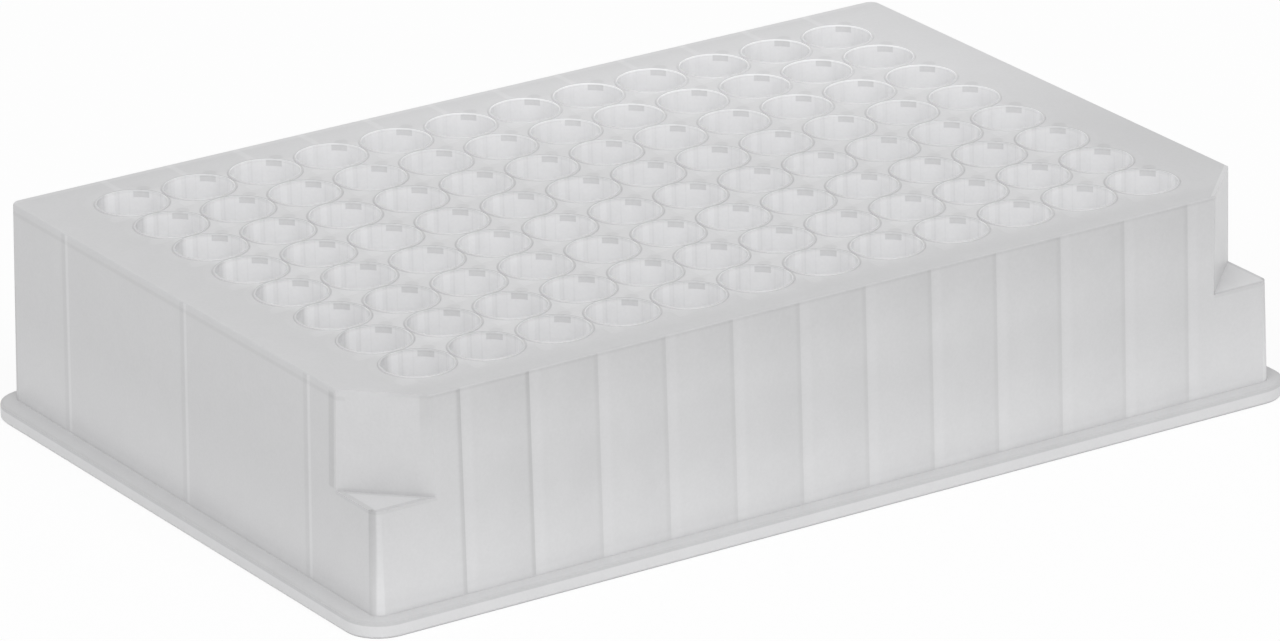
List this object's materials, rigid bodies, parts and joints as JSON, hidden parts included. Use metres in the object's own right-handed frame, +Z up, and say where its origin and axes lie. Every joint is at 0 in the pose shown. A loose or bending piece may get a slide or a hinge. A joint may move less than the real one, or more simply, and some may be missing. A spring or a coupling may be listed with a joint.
{
  "type": "well plate",
  "caption": "Moulded laboratory storage plate with a grid of open round wells, a skirted foot flange and two cut corners, which holds and stacks small liquid samples.",
  "frame": {"origin": "centre of the footprint, on the surface the plate stands on", "axes": "+X along the long side, +Y across it away from the side with the cut corners, +Z up out of the wells"},
  "size_m": [0.1278, 0.0854, 0.0266],
  "materials": {
    "polypropylene": "natural translucent polypropylene, satin as moulded"
  },
  "bodies": {
    "root": {"plate_body": "polypropylene"}
  },
  "joints": []
}
